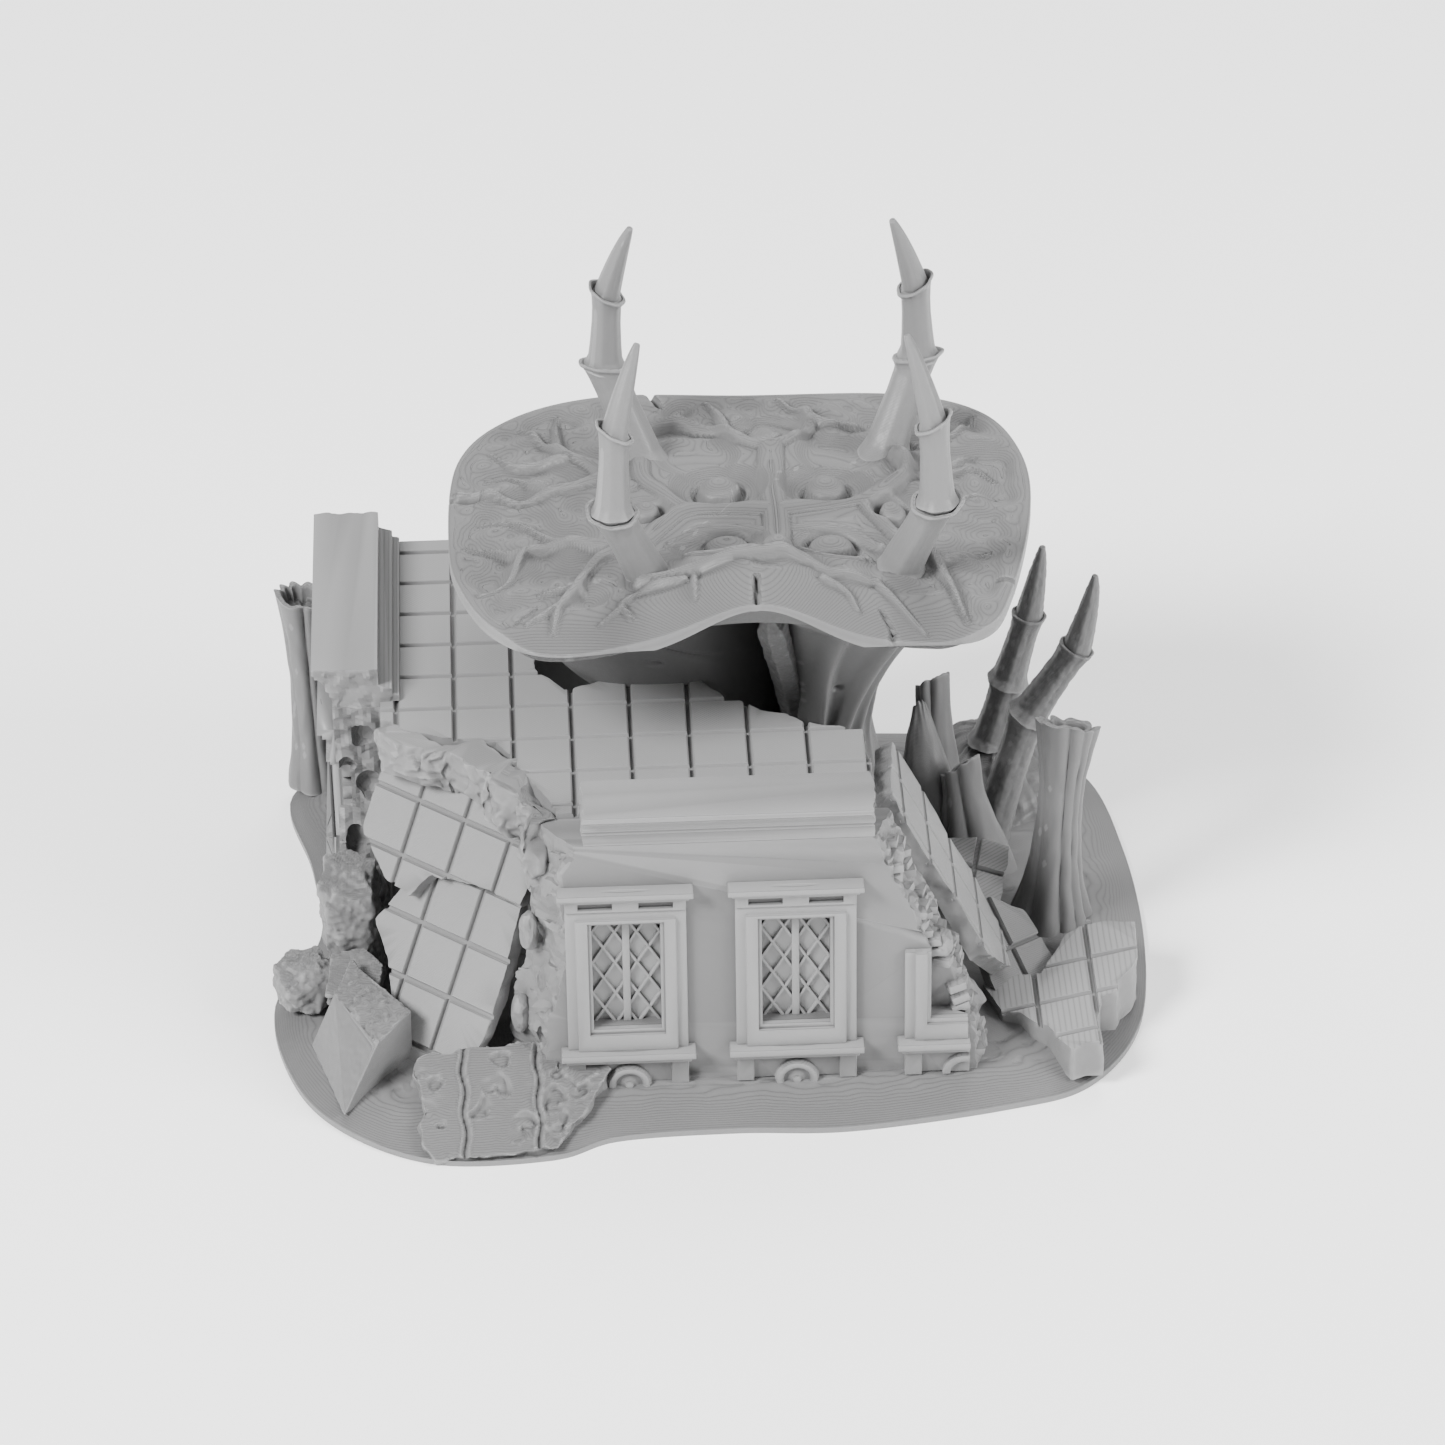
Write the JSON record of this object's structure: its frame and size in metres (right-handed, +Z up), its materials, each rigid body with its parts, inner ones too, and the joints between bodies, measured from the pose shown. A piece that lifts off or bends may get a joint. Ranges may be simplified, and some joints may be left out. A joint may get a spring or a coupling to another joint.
{
  "type": "miniature terrain ruin",
  "caption": "Tabletop scatter terrain: a broken town house with tiled roof and leaded windows, split by a horned organic growth whose trunk carries a veined platform.",
  "frame": {"origin": "centre of the footprint's bounding box, on the underside that rests on the table", "axes": "+Z up from the table, +X along the front wall from the broken left corner to the right, +Y from the front wall to the rear"},
  "size_m": [0.1382, 0.1127, 0.1169],
  "materials": {
    "ground": "satin grey printed plastic with fine layer lines",
    "wall": "satin grey printed plastic with fine layer lines",
    "trim": "satin grey printed plastic with fine layer lines",
    "tile": "satin grey printed plastic with fine layer lines",
    "rubble": "satin grey printed plastic with fine layer lines",
    "growth": "satin grey printed plastic with fine layer lines"
  },
  "bodies": {
    "ruin": {"base_plate": "ground", "root_mound": "growth", "front_wall": "wall", "left_wall": "wall", "rear_wall": "wall", "roof_left": "tile", "roof_front": "tile", "roof_rear": "tile", "left_parapet": "trim", "front_parapet": "trim", "window_head_1": "trim", "window_head_2": "trim", "window_frame_1": "trim", "window_frame_2": "trim", "window_frame_3": "trim", "window_lattice_1": "trim", "window_lattice_2": "trim", "window_sill_1": "trim", "window_sill_2": "trim", "window_sill_3": "trim", "side_window_1": "trim", "side_window_2": "trim", "rear_window_1": "trim", "rear_window_2": "trim", "corner_slab_upper": "tile", "corner_slab_lower": "tile", "roof_strip": "tile", "fallen_slab_rear": "tile", "fallen_slab_middle": "tile", "fallen_slab_front": "tile", "carved_block": "rubble", "wedge_block": "rubble", "rim_rock": "rubble", "wall_stump": "rubble", "leaning_chunk": "rubble", "fluted_pillar": "growth", "shell_tall": "growth", "shell_low": "growth", "rear_stump": "growth", "ground_spine_rear": "growth", "ground_spine_front": "growth"},
    "growth": {"trunk": "growth", "trunk_neck": "growth", "trunk_flare": "growth", "prong": "growth", "pad": "growth", "pad_ridges": "growth", "pad_domes": "growth", "pad_spine_1": "growth", "pad_spine_2": "growth", "pad_spine_3": "growth", "pad_spine_4": "growth"}
  },
  "joints": [
    {"name": "growth_lift", "type": "slide", "parent": "ruin", "child": "growth", "axis": [0, 0, 1], "range_m": [0, 0.06]}
  ]
}
